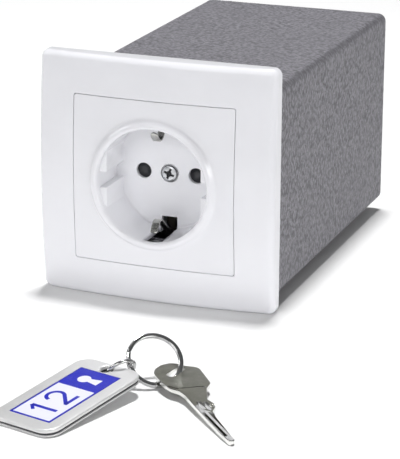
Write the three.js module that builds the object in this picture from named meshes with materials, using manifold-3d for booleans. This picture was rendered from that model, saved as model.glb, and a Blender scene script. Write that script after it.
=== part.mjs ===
// Outlet diversion safe: a steel box for a wall cavity whose drawer front looks like an earthed wall socket,
// with its key, split ring and fob lying in front of it.
// Millimetres. X to the right seen from the front, Y into the wall, Z up.
// The construction below is drawn about the centre of the cover frame, with y = 0 at the wall plane
// (the back edge of the cover frame). One outer group then moves it so that the origin is the middle
// of the flat strip along the frame's lower edge, on which the safe stands.
import * as THREE from 'three';
import { mergeVertices } from 'three/addons/utils/BufferGeometryUtils.js';
import Module from 'manifold-3d';

const wasm = await Module();
wasm.setup();

// ---------- driving dimensions ----------
const FRAME = 42.0;        // half width of the square cover frame (84 x 84)
const FRAME_R = 2.6;       // its corner radius
const EDGE_R = 2.0;        // rounding of its outer edge
const STRIP = 4.0;         // depth of the flat strip round the frame's edge
const SEAM = 28.7;         // half width of the seam between frame and centre plate
const GAP = 0.3;           // clearance between neighbours
const CROWN_Y = 10.1;      // how far the crowned front would stand out at its centre
const CROWN_R = 315;       // radius of the crowned front
const DISH_R = 19.5;       // socket recess
const LIP_R = 22.2;        // outer foot of the rounded lip
const LIP_TOP = 10.95;     // lip top in front of the wall plane
const FLOOR_Y = 7.0;       // recess floor behind the wall plane
const FLAT_X = 16.8;       // side flats of the recess
const GROOVE = 2.7;        // half height of the guide grooves
const PIN = 9.5;           // pin holes at 19 mm centres
const PIN_R = 2.7;
const SLOT = 2.8;          // half width of the earth slots
const BOX = { x0: -32.0, x1: 40.4, z0: -38.1, z1: 34.5, y0: 0.4, y1: 126.2, t: 1.2, r: 3.0 };
const TRAY = { x0: -29.8, x1: 38.2, z0: -35.6, z1: 24.0, y0: 2.5, y1: 121.5, t: 1.0 };
const LOCK = { x: 1.75, z: -17.6, reach: 20.2 };   // keyway beside the lower earth clip; length of the cam
const PLATE_Y = 22.3;      // lock plate inside the tray
const FLOOR_Z = -FRAME;    // the surface that the safe stands on
// key set, lying on that surface in front of the safe
const KEY = { tip: [66.61, -112.64, -41.2], turn: -46.5, rise: 3.0, t: 1.4, slot: [-50.87, 2.91] };
const RING = { c: [27.134, -74.618, -34.823], n: [0.4813, -0.5346, 0.6947], r: 8.288 };
const JUMP = { c: [19.19, -82.20, -36.18], n: [0.6165, -0.5278, -0.5852], r: 4.4, wire: 0.6 };
const FOB = { eye: [15.91, -85.33, -37.66], turn: 74.0, rise: 6.0, len: 45.0, wid: 24.0, t: 2.4, hole: 3.7 };

// ---------- materials ----------
const mat = (hex, roughness, metalness) => new THREE.MeshStandardMaterial({ color: hex, roughness, metalness });
const WHITE = () => mat(0xe6e8ee, 0.2, 0);
const COATED = () => mat(0x85848a, 0.6, 0.2);
const STEEL = () => mat(0xb9bbbe, 0.35, 0.9);
const DARK = () => mat(0x4a4b50, 0.5, 0);
const ZINC = () => mat(0xc8cbd0, 0.3, 0.9);
const BRASSY = () => mat(0xb79b5a, 0.35, 0.9);
const NYLON = () => mat(0xd8d8d2, 0.5, 0);
const RUBBER = () => mat(0x2b2d31, 0.8, 0);

// ---------- helpers ----------
function solid(geometry) {
  const g = geometry.clone();
  g.deleteAttribute('normal');
  g.deleteAttribute('uv');
  const m = mergeVertices(g, 1e-4);
  return new wasm.Manifold(new wasm.Mesh({
    numProp: 3,
    vertProperties: new Float32Array(m.attributes.position.array),
    triVerts: new Uint32Array(m.index.array),
  }));
}
function toGeometry(manifold) {
  const m = manifold.getMesh();
  const g = new THREE.BufferGeometry();
  g.setAttribute('position', new THREE.BufferAttribute(new Float32Array(m.vertProperties), 3));
  g.setIndex(new THREE.BufferAttribute(new Uint32Array(m.triVerts), 1));
  g.computeVertexNormals();
  return g;
}
const box = (x0, x1, y0, y1, z0, z1) => solid(new THREE.BoxGeometry(x1 - x0, y1 - y0, z1 - z0)
  .translate((x0 + x1) / 2, (y0 + y1) / 2, (z0 + z1) / 2));
// cylinder along Y
const rod = (x, z, r, y0, y1, n = 24, r1 = r) => solid(new THREE.CylinderGeometry(r1, r, y1 - y0, n)
  .translate(x, (y0 + y1) / 2, z));
// cylinder along Z
const post = (x, y, r, z0, z1, n = 20, r1 = r) => solid(new THREE.CylinderGeometry(r1, r, z1 - z0, n)
  .rotateX(Math.PI / 2).translate(x, y, (z0 + z1) / 2));
// outline in (x, z) drawn out along Y
const alongY = (shape, y0, y1, n = 8) => solid(new THREE.ExtrudeGeometry(shape, { depth: y1 - y0, bevelEnabled: false, curveSegments: n })
  .rotateX(Math.PI / 2).translate(0, y1, 0));
// outline in (x, y) drawn out along Z
const alongZ = (shape, z0, z1, n = 8) => solid(new THREE.ExtrudeGeometry(shape, { depth: z1 - z0, bevelEnabled: false, curveSegments: n })
  .translate(0, 0, z0));
// outline in (y, z) drawn out along X
const alongX = (shape, x0, x1, n = 8) => solid(new THREE.ExtrudeGeometry(shape, { depth: x1 - x0, bevelEnabled: false, curveSegments: n })
  .rotateZ(Math.PI / 2).rotateY(Math.PI / 2).translate(x0, 0, 0));
function roundRect(x0, x1, y0, y1, r) {
  const s = new THREE.Shape();
  s.moveTo(x0 + r, y0);
  s.lineTo(x1 - r, y0); s.absarc(x1 - r, y0 + r, r, -Math.PI / 2, 0, false);
  s.lineTo(x1, y1 - r); s.absarc(x1 - r, y1 - r, r, 0, Math.PI / 2, false);
  s.lineTo(x0 + r, y1); s.absarc(x0 + r, y1 - r, r, Math.PI / 2, Math.PI, false);
  s.lineTo(x0, y0 + r); s.absarc(x0 + r, y0 + r, r, Math.PI, 1.5 * Math.PI, false);
  return s;
}
function polygon(points) {
  const s = new THREE.Shape();
  points.forEach(([a, b], i) => (i ? s.lineTo(a, b) : s.moveTo(a, b)));
  s.closePath();
  return s;
}
// outline of a strip of thickness t whose middle follows the points
function strip(points, t) {
  const left = [], right = [];
  points.forEach((p, i) => {
    const a = points[Math.max(0, i - 1)], b = points[Math.min(points.length - 1, i + 1)];
    const dirs = [];
    if (i > 0) dirs.push([p[0] - a[0], p[1] - a[1]]);
    if (i < points.length - 1) dirs.push([b[0] - p[0], b[1] - p[1]]);
    const n = dirs.map(([u, v]) => { const l = Math.hypot(u, v); return [-v / l, u / l]; });
    let m = n.length > 1 ? [n[0][0] + n[1][0], n[0][1] + n[1][1]] : n[0];
    const l = Math.hypot(...m); m = [m[0] / l, m[1] / l];
    const k = t / 2 / (m[0] * n[0][0] + m[1] * n[0][1]);
    left.push([p[0] + m[0] * k, p[1] + m[1] * k]);
    right.push([p[0] - m[0] * k, p[1] - m[1] * k]);
  });
  return [...right, ...left.reverse()];
}
const crown = (x, z) => -CROWN_Y + (x * x + z * z) / (2 * CROWN_R);

// ---------- rings: a closed skin lofted through loops that share one point count ----------
const CORNER = 4, SIDE = 5;                 // steps in each corner and along each side
const RING_N = 4 * (CORNER + SIDE);
// rounded square of half width h and corner radius r, anticlockwise seen from the front
function squareLoop(h, r) {
  const out = [];
  const centres = [[1, 1, 0], [-1, 1, 90], [-1, -1, 180], [1, -1, 270]];
  for (let q = 0; q < 4; q++) {
    const [sx, sz, a0] = centres[q];
    for (let i = 0; i <= CORNER; i++) {
      const a = (a0 + (90 * i) / CORNER) * Math.PI / 180;
      out.push([sx * (h - r) + r * Math.cos(a), sz * (h - r) + r * Math.sin(a)]);
    }
    const end = out[out.length - 1];
    const [nx, nz, b0] = centres[(q + 1) % 4];
    const a = b0 * Math.PI / 180;
    const next = [nx * (h - r) + r * Math.cos(a), nz * (h - r) + r * Math.sin(a)];
    for (let i = 1; i < SIDE; i++) out.push([end[0] + (next[0] - end[0]) * i / SIDE, end[1] + (next[1] - end[1]) * i / SIDE]);
  }
  return out;
}
// circle whose points lie at the angles of the rounded square's points
function circleLoop(r) {
  return squareLoop(10, 3).map(([x, z]) => { const l = Math.hypot(x, z); return [x * r / l, z * r / l]; });
}
// loops: arrays of [x, y, z]; consecutive loops are joined, the last to the first if closed, else ends are capped
function loft(loops, closed) {
  const pos = [], idx = [];
  const n = loops[0].length;
  loops.forEach((l) => l.forEach((p) => pos.push(...p)));
  const joins = closed ? loops.length : loops.length - 1;
  for (let k = 0; k < joins; k++) {
    const a = k * n, b = ((k + 1) % loops.length) * n;
    for (let i = 0; i < n; i++) {
      const j = (i + 1) % n;
      idx.push(a + i, b + i, b + j, a + i, b + j, a + j);
    }
  }
  if (!closed) {
    for (const [k, flip] of [[0, false], [loops.length - 1, true]]) {
      const c = pos.length / 3;
      const l = loops[k];
      const mid = [0, 1, 2].map((d) => l.reduce((s, p) => s + p[d], 0) / n);
      pos.push(...mid);
      for (let i = 0; i < n; i++) {
        const j = (i + 1) % n;
        flip ? idx.push(k * n + i, c, k * n + j) : idx.push(k * n + j, c, k * n + i);
      }
    }
  }
  const g = new THREE.BufferGeometry();
  g.setAttribute('position', new THREE.BufferAttribute(new Float32Array(pos), 3));
  g.setIndex(idx);
  let m = solid(g);
  if (m.volume() < 0 || m.isEmpty()) {
    const f = [];
    for (let i = 0; i < idx.length; i += 3) f.push(idx[i], idx[i + 2], idx[i + 1]);
    g.setIndex(f);
    m = solid(g);
  }
  return m;
}
const flat = (loop, y) => loop.map(([x, z]) => [x, y, z]);
const onCrown = (loop, back = 0) => loop.map(([x, z]) => [x, crown(x, z) + back, z]);

const group = new THREE.Group();
const safe = new THREE.Group();
safe.position.set(0, STRIP / 2, FRAME);
group.add(safe);
function add(name, manifold, material, parent = safe) {
  const mesh = new THREE.Mesh(manifold.isBufferGeometry ? manifold : toGeometry(manifold), material);
  mesh.name = name;
  parent.add(mesh);
  return mesh;
}

// ---------- steel housing ----------
{
  const outer = alongY(roundRect(BOX.x0, BOX.x1, BOX.z0, BOX.z1, BOX.r), BOX.y0, BOX.y1, 5);
  const inner = alongY(roundRect(BOX.x0 + BOX.t, BOX.x1 - BOX.t, BOX.z0 + BOX.t, BOX.z1 - BOX.t, BOX.r - BOX.t), BOX.y0 - 1, BOX.y1 + 1, 5);
  let sleeve = outer.subtract(inner);
  // strike slot in the floor for the cam, and the hole of the stop screw in the roof
  sleeve = sleeve.subtract(box(LOCK.x - 7.8, LOCK.x + 5.6, 30.0, 33.0, BOX.z0 - 1, BOX.z0 + BOX.t + 1));
  sleeve = sleeve.subtract(post(4, 12, 1.85, BOX.z1 - BOX.t - 0.1, BOX.z1 + 0.1, 20, 3.1));
  add('housing_sleeve', sleeve, COATED());
  const g = BOX.t + GAP;
  add('housing_back_plate', alongY(roundRect(BOX.x0 + g, BOX.x1 - g, BOX.z0 + g, BOX.z1 - g, BOX.r - 1.3), BOX.y1 - 1.5, BOX.y1 - 0.3, 4), COATED());
  for (const [name, x0] of [['runner_strip_left', -28.6], ['runner_strip_right', 31.0]]) {
    add(name, box(x0, x0 + 6, 4, 120, BOX.z0 + BOX.t + GAP, BOX.z0 + BOX.t + GAP + 0.7), NYLON());
  }
  // countersunk, its head flush with the roof
  const stop = post(4, 12, 1.5, BOX.z1 - 4.6, BOX.z1 - 1.0).add(post(4, 12, 1.5, BOX.z1 - BOX.t, BOX.z1 - 0.05, 20, 2.65));
  add('stop_screw', stop, ZINC());
}

// ---------- drawer: visible front ----------
{
  // cover frame: a crowned shell with a flat edge strip, a rounded outer edge and a seat for the centre plate
  const R = EDGE_R;
  const loops = [];
  const edge = (d) => (d >= R ? 0 : R - Math.sqrt(R * R - (R - d) * (R - d)));
  const o = (d) => squareLoop(FRAME - d, Math.max(FRAME_R - d, 0.4));
  loops.push(flat(o(0), 0));
  for (const d of [0, 0.25, 0.8, 2.0]) {
    loops.push(o(d).map(([x, z]) => { const [ox, oz] = [x, z]; return [ox, crown(ox, oz) + edge(d), oz]; }));
  }
  loops.push(onCrown(squareLoop(35, 1.5)));
  loops.push(onCrown(squareLoop(SEAM + GAP / 2 + 0.4, 0.8)));
  loops.push(onCrown(squareLoop(SEAM + GAP / 2, 0.8), 0.35));
  loops.push(flat(squareLoop(SEAM + GAP / 2, 0.8), -4.9));
  loops.push(flat(squareLoop(26.4, 0.6), -4.9));
  loops.push(flat(squareLoop(26.4, 0.6), -3.4));
  loops.push(flat(squareLoop(31.0, 0.6), -3.4));
  loops.push(onCrown(squareLoop(33.0, 1.0), 2.0));
  loops.push(squareLoop(39.9, 1.6).map(([x, z]) => [x, crown(x, z) + 2.4, z]));
  loops.push(flat(squareLoop(40.8, 1.6), 0));
  add('cover_frame', loft(loops, true), WHITE());

  // centre plate with the rounded lip and the recess, one moulding
  const s = SEAM - GAP / 2;
  const C = circleLoop;
  const mix = (a, b, t) => a.map((p, i) => [p[0] + (b[i][0] - p[0]) * t, p[1] + (b[i][1] - p[1]) * t]);
  const sq = squareLoop(s, 0.8), foot = C(LIP_R);
  const front = [
    flat(sq, -5.3),
    onCrown(sq, 0.35),
    onCrown(squareLoop(s - 0.4, 0.8)),
    onCrown(mix(squareLoop(s - 0.4, 0.8), foot, 0.55)),
    onCrown(foot),
    flat(C(21.9), -10.1),
    flat(C(21.3), -10.7),
    flat(C(20.6), -LIP_TOP),
    flat(C(19.9), -10.65),
    flat(C(DISH_R), -9.9),
    flat(C(DISH_R - 0.15), FLOOR_Y),
  ];
  const back = [
    flat(C(21.0), FLOOR_Y + 1.6),
    flat(C(21.0), -6.6),
    flat(mix(C(21.0), squareLoop(s - 1.6, 0.6), 1), -6.0),
    flat(squareLoop(s - 1.5, 0.6), -5.3),
  ];
  // the floor closes the front of the recess and its back face closes the rear
  let skin = loft([...front, ...back], true);
  // loft through the recess floor: fill the hole between the two innermost loops
  const floorPlug = rod(0, 0, 20.3, FLOOR_Y, FLOOR_Y + 1.6, 36);
  let cover = skin.add(floorPlug);
  // side flats, each split by the guide groove
  const round = rod(0, 0, 20.3, -20, 20, 36);
  for (const sx of [-1, 1]) for (const sz of [-1, 1]) {
    const x0 = sx < 0 ? -20.4 : FLAT_X, x1 = sx < 0 ? -FLAT_X : 20.4;
    const z0 = sz < 0 ? -11 : GROOVE, z1 = sz < 0 ? -GROOVE : 11;
    cover = cover.add(box(x0, x1, -8.3, FLOOR_Y + 0.4, z0, z1).intersect(round));
  }
  // earth slots, pin holes and the seat of the centre screw
  for (const sz of [-1, 1]) {
    const z0 = sz < 0 ? -22.5 : 15.3, z1 = sz < 0 ? -15.3 : 22.5;
    cover = cover.subtract(box(-SLOT, SLOT, -9.4, FLOOR_Y + 3, z0, z1));
  }
  for (const x of [-PIN, PIN]) cover = cover.subtract(rod(x, 0, PIN_R, FLOOR_Y - 1, FLOOR_Y + 3, 24));
  cover = cover.subtract(rod(0, 0, 3.15, FLOOR_Y - 1, FLOOR_Y + 0.9, 24));
  cover = cover.subtract(rod(0, 0, 1.9, FLOOR_Y - 1, FLOOR_Y + 3, 16));
  add('socket_cover', cover, WHITE());

  // dark blanks behind the two pin holes
  for (const [name, x] of [['pin_blank_left', -PIN], ['pin_blank_right', PIN]]) {
    const b = rod(x, 0, 3.6, FLOOR_Y + 1.9, FLOOR_Y + 3.4, 20).add(rod(x, 0, PIN_R - 0.3, FLOOR_Y + 0.9, FLOOR_Y + 2.0, 20));
    add(name, b, DARK());
  }

  // earth bracket: a pad under the centre screw, an arm that passes beside the slots, and at each end a leaf
  // that turns in behind its slot and rises through it to the clip's hump
  const clip = [[FLOOR_Y + 2.4, 21.6], [FLOOR_Y + 1.6, 20.7], [5.5, 19.2], [2.6, 17.2], [0.2, 15.2], [-1.4, 14.2], [-2.9, 14.0], [-4.1, 14.7], [-5.4, 16.2], [-6.2, 17.4]];
  const b0 = FLOOR_Y + 2.05, b1 = FLOOR_Y + 2.75;
  let bracket = box(-4.6, 4.6, b0, b1, -6.5, 6.5).add(box(-5.6, -3.7, b0, b1, -22.6, 22.6));
  for (const s of [-1, 1]) {
    bracket = bracket.add(box(-5.6, 0.7, b0, b1, s < 0 ? -22.6 : 20.6, s < 0 ? -20.6 : 22.6));
    bracket = bracket.add(alongX(polygon(strip(clip.map(([y, z]) => [y, s * z]), 0.7)), -1.9, 0.7));
  }
  bracket = bracket.subtract(rod(0, 0, 1.8, FLOOR_Y + 1, FLOOR_Y + 4, 16));
  add('earth_bracket', bracket, ZINC());

  // centre screw, head sunk in the recess floor
  let head = rod(0, 0, 2.85, FLOOR_Y - 0.9, FLOOR_Y + 0.6, 24);
  head = head.subtract(box(-2.4, 2.4, FLOOR_Y - 1.5, FLOOR_Y - 0.2, -0.35, 0.35)).subtract(box(-0.35, 0.35, FLOOR_Y - 1.5, FLOOR_Y - 0.2, -2.4, 2.4));
  add('centre_screw', head.add(rod(0, 0, 1.5, FLOOR_Y + 0.5, FLOOR_Y + 9, 16)), ZINC());

  // insert that carries the screw and the bracket
  let base = box(-17, 17, FLOOR_Y + 3.7, FLOOR_Y + 8.2, -9.0, 17);
  base = base.subtract(rod(0, 0, 1.8, FLOOR_Y, FLOOR_Y + 10, 16));
  add('socket_base', base, NYLON());
}

// ---------- drawer: carrier, tray and lock ----------
{
  // mounting ring between the cover frame and the drawer front
  let ring = box(-33, 33, -1.6, -0.5, -33, 33).subtract(rod(0, 0, 22.0, -3, 2, 36));
  for (const x of [-28.2, 28.2]) ring = ring.subtract(rod(x, 0, 1.9, -3, 2, 16));
  add('support_ring', ring, STEEL());

  let face = alongY(roundRect(BOX.x0 + BOX.t + 0.4, BOX.x1 - BOX.t - 0.4, BOX.z0 + BOX.t + 0.4, BOX.z1 - BOX.t - 0.4, 2.4), 1.0, 2.2, 4)
    .subtract(rod(0, 0, 22.0, 0, 4, 36));
  const rivets = [[-26, 18], [-26, -28], [34.2, 18], [34.2, -28]];
  for (const x of [-28.2, 28.2]) face = face.subtract(rod(x, 0, 1.8, 0, 4, 16));
  for (const [x, z] of rivets) face = face.subtract(rod(x, z, 1.8, 0, 4, 16));
  add('drawer_front_plate', face, COATED());
  for (const [name, x] of [['ring_screw_left', -28.2], ['ring_screw_right', 28.2]]) {
    let screw = rod(x, 0, 1.5, -2.0, 4.6, 16).add(rod(x, 0, 3.0, -3.3, -1.9, 20));
    screw = screw.subtract(box(x - 3.2, x + 3.2, -3.6, -2.7, -0.35, 0.35));
    add(name, screw, ZINC());
  }

  // tray: bent sheet, open on top, with flanges behind the drawer front and a stop tab at the back
  const T = TRAY;
  let tray = box(T.x0, T.x1, T.y0, T.y1, T.z0, T.z1)
    .subtract(box(T.x0 + T.t, T.x1 - T.t, T.y0 + T.t, T.y1 - T.t, T.z0 + T.t, T.z1 + 5));
  tray = tray.subtract(box(-23, 31, T.y0 - 1, T.y0 + T.t + 0.5, T.z0 + T.t, T.z1 + 5));
  tray = tray.add(box(-4, 12, T.y1 - T.t, T.y1, T.z1 - 1, BOX.z1 - BOX.t - 0.6));
  tray = tray.subtract(box(LOCK.x - 12.4, LOCK.x + 5.6, 29.6, 33.4, T.z0 - 1, T.z0 + T.t + 1));
  for (const [x, z] of rivets) tray = tray.subtract(rod(x, z, 1.8, 0, 5, 16));
  for (const x of [-28.2, 28.2]) tray = tray.subtract(rod(x, 0, 1.8, 0, 5, 16));
  for (const [x, y0] of [[T.x0, PLATE_Y + 8], [T.x1 - T.t, PLATE_Y + 8]]) {
    tray = tray.subtract(solid(new THREE.CylinderGeometry(1.8, 1.8, 4, 16).rotateZ(Math.PI / 2).translate(x + 0.5, y0, 6)));
  }
  add('drawer_tray', tray, COATED());
  rivets.forEach(([x, z], i) => {
    const r = rod(x, z, 1.5, 0.4, 4.1, 16).add(rod(x, z, 2.7, 0.0, 0.7, 20)).add(rod(x, z, 2.7, 3.8, 4.6, 20, 1.9));
    add(`front_rivet_${i + 1}`, r, ZINC());
  });
  add('tray_mat', box(T.x0 + T.t + 0.6, T.x1 - T.t - 0.6, 36.5, T.y1 - T.t - 0.6, T.z0 + T.t + GAP, T.z0 + T.t + GAP + 1.5), RUBBER());

  // lock plate across the tray, with a flange along each side
  let plate = box(T.x0 + T.t + GAP, T.x1 - T.t - GAP, PLATE_Y, PLATE_Y + 1.2, T.z0 + T.t + GAP, T.z1 - 1);
  for (const [x0, x1] of [[T.x0 + T.t + GAP, T.x0 + T.t + GAP + 1.2], [T.x1 - T.t - GAP - 1.2, T.x1 - T.t - GAP]]) {
    plate = plate.add(box(x0, x1, PLATE_Y, PLATE_Y + 13, T.z0 + T.t + GAP + 3, T.z1 - 4));
    plate = plate.subtract(solid(new THREE.CylinderGeometry(1.8, 1.8, 4, 16).rotateZ(Math.PI / 2).translate((x0 + x1) / 2, PLATE_Y + 8, 6)));
  }
  plate = plate.subtract(rod(LOCK.x, LOCK.z, 6.8, PLATE_Y - 2, PLATE_Y + 3, 28));
  add('lock_plate', plate, STEEL());
  for (const [name, x, s] of [['side_rivet_left', T.x0, 1], ['side_rivet_right', T.x1, -1]]) {
    // headed on the inside only, flush outside so that the tray runs clear of the housing
    const bar = new THREE.CylinderGeometry(1.5, 1.5, 3.2, 16).rotateZ(Math.PI / 2).translate(x + s * 1.7, PLATE_Y + 8, 6);
    const cap = new THREE.CylinderGeometry(2.7, 2.7, 0.9, 20).rotateZ(Math.PI / 2).translate(x + s * 3.25, PLATE_Y + 8, 6);
    add(name, solid(bar).add(solid(cap)), ZINC());
  }

  // cam lock: body, washer, nut
  const { x, z } = LOCK;
  let body = rod(x, z, 6.5, 10.4, 29.6, 28).add(rod(x, z, 8.0, 20.4, PLATE_Y - 0.3, 28));
  body = body.subtract(rod(x, z, 4.3, 9, 31, 24));
  add('lock_body', body, ZINC());
  add('lock_washer', rod(x, z, 8.2, PLATE_Y + 1.5, PLATE_Y + 2.3, 28).subtract(rod(x, z, 6.8, PLATE_Y, PLATE_Y + 4, 28)), STEEL());
  add('lock_nut', rod(x, z, 9.2, PLATE_Y + 2.6, PLATE_Y + 6.2, 6).subtract(rod(x, z, 6.8, PLATE_Y, PLATE_Y + 9, 28)), STEEL());

  // turning parts: plug with its keyway, cam and cam screw
  let plug = rod(x, z, 4.0, 10.7, 30.0, 24).add(box(x - 2, x + 2, 29.8, 33.0, z - 2, z + 2));
  plug = plug.subtract(box(x - 1.1, x + 1.1, 9, 28, z - 2.85, z + 2.85));
  plug = plug.subtract(rod(x, z, 1.4, 29, 34, 12));
  add('lock_plug', plug, BRASSY());
  const cam = alongY(roundRect(x - LOCK.reach, x + 4.6, z - 4.6, z + 4.6, 3.2), 30.6, 32.4, 5)
    .subtract(box(x - 2.3, x + 2.3, 29, 34, z - 2.3, z + 2.3));
  add('lock_cam', cam, STEEL());
  let camScrew = rod(x, z, 4.0, 33.3, 35.0, 20).subtract(box(x - 4.2, x + 4.2, 34.4, 36, z - 0.4, z + 0.4)).add(rod(x, z, 1.1, 30.5, 33.6, 12));
  add('cam_screw', camScrew, ZINC());
}

// ---------- key, split ring, jump ring and fob ----------
{
  const deg = Math.PI / 180;
  const up = new THREE.Vector3(0, 0, 1);
  // key: drawn with its tip at the origin, the bow towards -X, lying in the XY plane
  const outline = [
    [-52.58, -3.75], [-54.96, -2.38], [-57.09, 0.43], [-57.56, 3.68], [-56.6, 5.49], [-54.23, 7.16], [-52.38, 9.9], [-50.78, 10.77],
    [-39.74, 9.83], [-36.57, 7.21], [-29.05, 4.16], [-25.44, 5.02], [-23.47, 4.47], [-20.89, 2.38], [-1.55, 1.11], [-0.36, 0.53],
    [-0.04, -0.48], [-0.83, -1.14], [-6.46, -1.41], [-15.36, -1.34], [-25.13, -1.23], [-30.02, -1.12], [-34.43, -0.99],
    [-37.76, -1.76], [-39.7, -3.12], [-41.98, -3.69], [-45.71, -4.12], [-50.23, -4.06],
  ];
  const shape = polygon(outline);
  const hole = new THREE.Path();
  const [hx, hy] = KEY.slot;
  const L = 4.15, W = 1.55, A = 129.3 * deg;     // half length, half width and direction of the slot for the ring
  const c = [];
  for (let i = 0; i < 24; i++) {
    const t = (i / 24) * 2 * Math.PI;
    const u = Math.sign(Math.cos(t)) * (L - W) + W * Math.cos(t), v = W * Math.sin(t);
    c.push([hx + u * Math.cos(A) - v * Math.sin(A), hy + u * Math.sin(A) + v * Math.cos(A)]);
  }
  c.forEach(([a, b], i) => (i ? hole.lineTo(a, b) : hole.moveTo(a, b)));
  hole.closePath();
  shape.holes.push(hole);
  const k = KEY.t / 2;
  let key = alongZ(shape, -k, k);
  // a groove and a stepped edge on the face, a groove behind
  key = key.subtract(box(-19.2, -3.8, -1.05, -0.1, k - 0.5, 2)).subtract(box(-18.7, 2, 0.75, 6, k - 0.6, 2)).subtract(box(-20, 2, -0.6, 0.4, -2, -k + 0.4));
  const kg = new THREE.Group();
  kg.position.set(...KEY.tip);
  kg.rotation.set(0, KEY.rise * deg, KEY.turn * deg, 'ZYX');
  safe.add(kg);
  add('key', key, STEEL(), kg);

  // split ring: one closed ring for the two pressed coils
  const w = 0.75, h = 0.9;
  const prof = [[-w, -h + 0.4], [-w + 0.4, -h], [w - 0.4, -h], [w, -h + 0.4], [w, h - 0.4], [w - 0.4, h], [-w + 0.4, h], [-w, h - 0.4], [-w, -h + 0.4]].map(([a, b]) => new THREE.Vector2(RING.r + a, b));
  const rg = new THREE.LatheGeometry(prof, 40).rotateX(Math.PI / 2);
  const rm = add('split_ring', solid(rg), ZINC());
  rm.position.set(...RING.c);
  rm.quaternion.setFromUnitVectors(up, new THREE.Vector3(...RING.n).normalize());

  // jump ring: through the split ring and the eye of the fob
  const circle = [];
  for (let i = 0; i <= 8; i++) circle.push(new THREE.Vector2(JUMP.r + JUMP.wire * Math.cos(i * Math.PI / 4), JUMP.wire * Math.sin(i * Math.PI / 4)));
  const jg = new THREE.LatheGeometry(circle, 28).rotateX(Math.PI / 2);
  const jm = add('jump_ring', solid(jg), ZINC());
  jm.position.set(...JUMP.c);
  jm.quaternion.setFromUnitVectors(up, new THREE.Vector3(...JUMP.n).normalize());

  // fob: metal plate, dark layer and backing; its far end rests, its eye is held up by the jump ring
  const fg = new THREE.Group();
  fg.position.set(...FOB.eye);
  fg.rotation.set(0, -FOB.rise * deg, FOB.turn * deg, 'ZYX');
  safe.add(fg);
  const x0 = FOB.hole - FOB.len, x1 = FOB.hole, hw = FOB.wid / 2;
  const eye = post(0, 0, 2.1, -2, 6, 20);
  const layer = (z0, z1, inset) => alongZ(roundRect(x0 + inset, x1 - inset, -hw + inset, hw - inset, 5.0 - inset), z0, z1, 5).subtract(eye);
  add('fob_backing', layer(0, 0.55, 0), STEEL(), fg);
  add('fob_core', layer(0.6, 0.95, 0.25), DARK(), fg);
  const pocket = alongZ(roundRect(x0 + 4.8, -2.8, -7.85, 7.85, 0.3), FOB.t - 0.35, FOB.t + 1, 2);
  add('fob_plate', layer(1.0, FOB.t, 0).subtract(pocket), STEEL(), fg);
  add('fob_label', alongZ(roundRect(x0 + 5.0, -3.0, -7.65, 7.65, 0.2), FOB.t - 0.3, FOB.t - 0.02, 2), mat(0x2b36c8, 0.35, 0), fg);
}

export default group;
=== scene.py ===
import math

import bpy
import bmesh
import numpy as np
from mathutils import Matrix, Vector


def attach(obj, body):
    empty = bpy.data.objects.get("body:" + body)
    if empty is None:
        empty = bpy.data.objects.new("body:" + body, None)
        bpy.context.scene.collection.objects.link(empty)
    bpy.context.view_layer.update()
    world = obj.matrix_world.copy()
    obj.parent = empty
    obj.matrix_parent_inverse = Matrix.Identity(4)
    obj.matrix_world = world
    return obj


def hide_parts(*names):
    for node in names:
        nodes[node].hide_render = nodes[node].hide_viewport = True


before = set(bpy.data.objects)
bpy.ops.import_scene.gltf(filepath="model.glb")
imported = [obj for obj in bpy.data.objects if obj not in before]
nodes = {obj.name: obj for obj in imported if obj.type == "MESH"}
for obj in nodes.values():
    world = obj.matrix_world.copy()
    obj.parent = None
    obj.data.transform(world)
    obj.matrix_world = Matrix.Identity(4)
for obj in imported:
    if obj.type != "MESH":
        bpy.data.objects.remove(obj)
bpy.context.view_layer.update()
scene = bpy.context.scene

# Shapes below are drawn in millimetres about the centre of the cover frame, with y = 0 at the wall plane.
# SHIFT takes them to the part's own frame.
SHIFT = (0.0, 2.0, 42.0)
CROWN_Y, CROWN_R = 10.1, 315.0
FRAME, SEAM, GAP = 42.0, 28.7, 0.3
DISH_R, LIP_R, LIP_TOP, FLOOR_Y = 19.5, 22.2, 10.95, 7.0
FLAT_X, GROOVE, PIN, PIN_R, SLOT = 16.8, 2.7, 9.5, 2.7, 2.8
BX0, BX1, BZ0, BZ1, BY0, BY1, BT, BR = -32.0, 40.4, -38.1, 34.5, 0.4, 126.2, 1.2, 3.0
TX0, TX1, TY0, TY1, TZ0, TZ1, TT = -29.8, 38.2, 2.5, 121.5, -35.6, 24.0, 1.0
LOCK_X, LOCK_Z, LOCK_REACH, PLATE_Y = 1.75, -17.6, 20.2, 22.3

# ------------------------------------------------------------------ camera
cam_data = bpy.data.cameras.new("camera")
cam = bpy.data.objects.new("camera", cam_data)
scene.collection.objects.link(cam)
cx, cy, cz = Vector((0.93535, 0.35369, 0.00506)), Vector((-0.11174, 0.28187, 0.95292)), Vector((0.33561, -0.89188, 0.30317))
cz.normalize()
cx = (cx - cx.dot(cz) * cz).normalized()
cy = cz.cross(cx)
rot = Matrix((cx, cy, cz)).transposed().to_4x4()
cam.matrix_world = Matrix.Translation((0.266046, -0.668685, 0.253668)) @ rot
cam_data.sensor_fit = "HORIZONTAL"
cam_data.sensor_width = 36.0
cam_data.lens = 201.318
cam_data.clip_start = 0.02
cam_data.clip_end = 40.0
scene.camera = cam


# ------------------------------------------------------------------ materials
def new_material(name):
    m = bpy.data.materials.new(name)
    m.use_nodes = True
    nt = m.node_tree
    bsdf = nt.nodes["Principled BSDF"]
    return m, nt, bsdf


def node(nt, kind, **values):
    n = nt.nodes.new(kind)
    for k, v in values.items():
        if k in n.inputs:
            n.inputs[k].default_value = v
        else:
            setattr(n, k, v)
    return n


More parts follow.
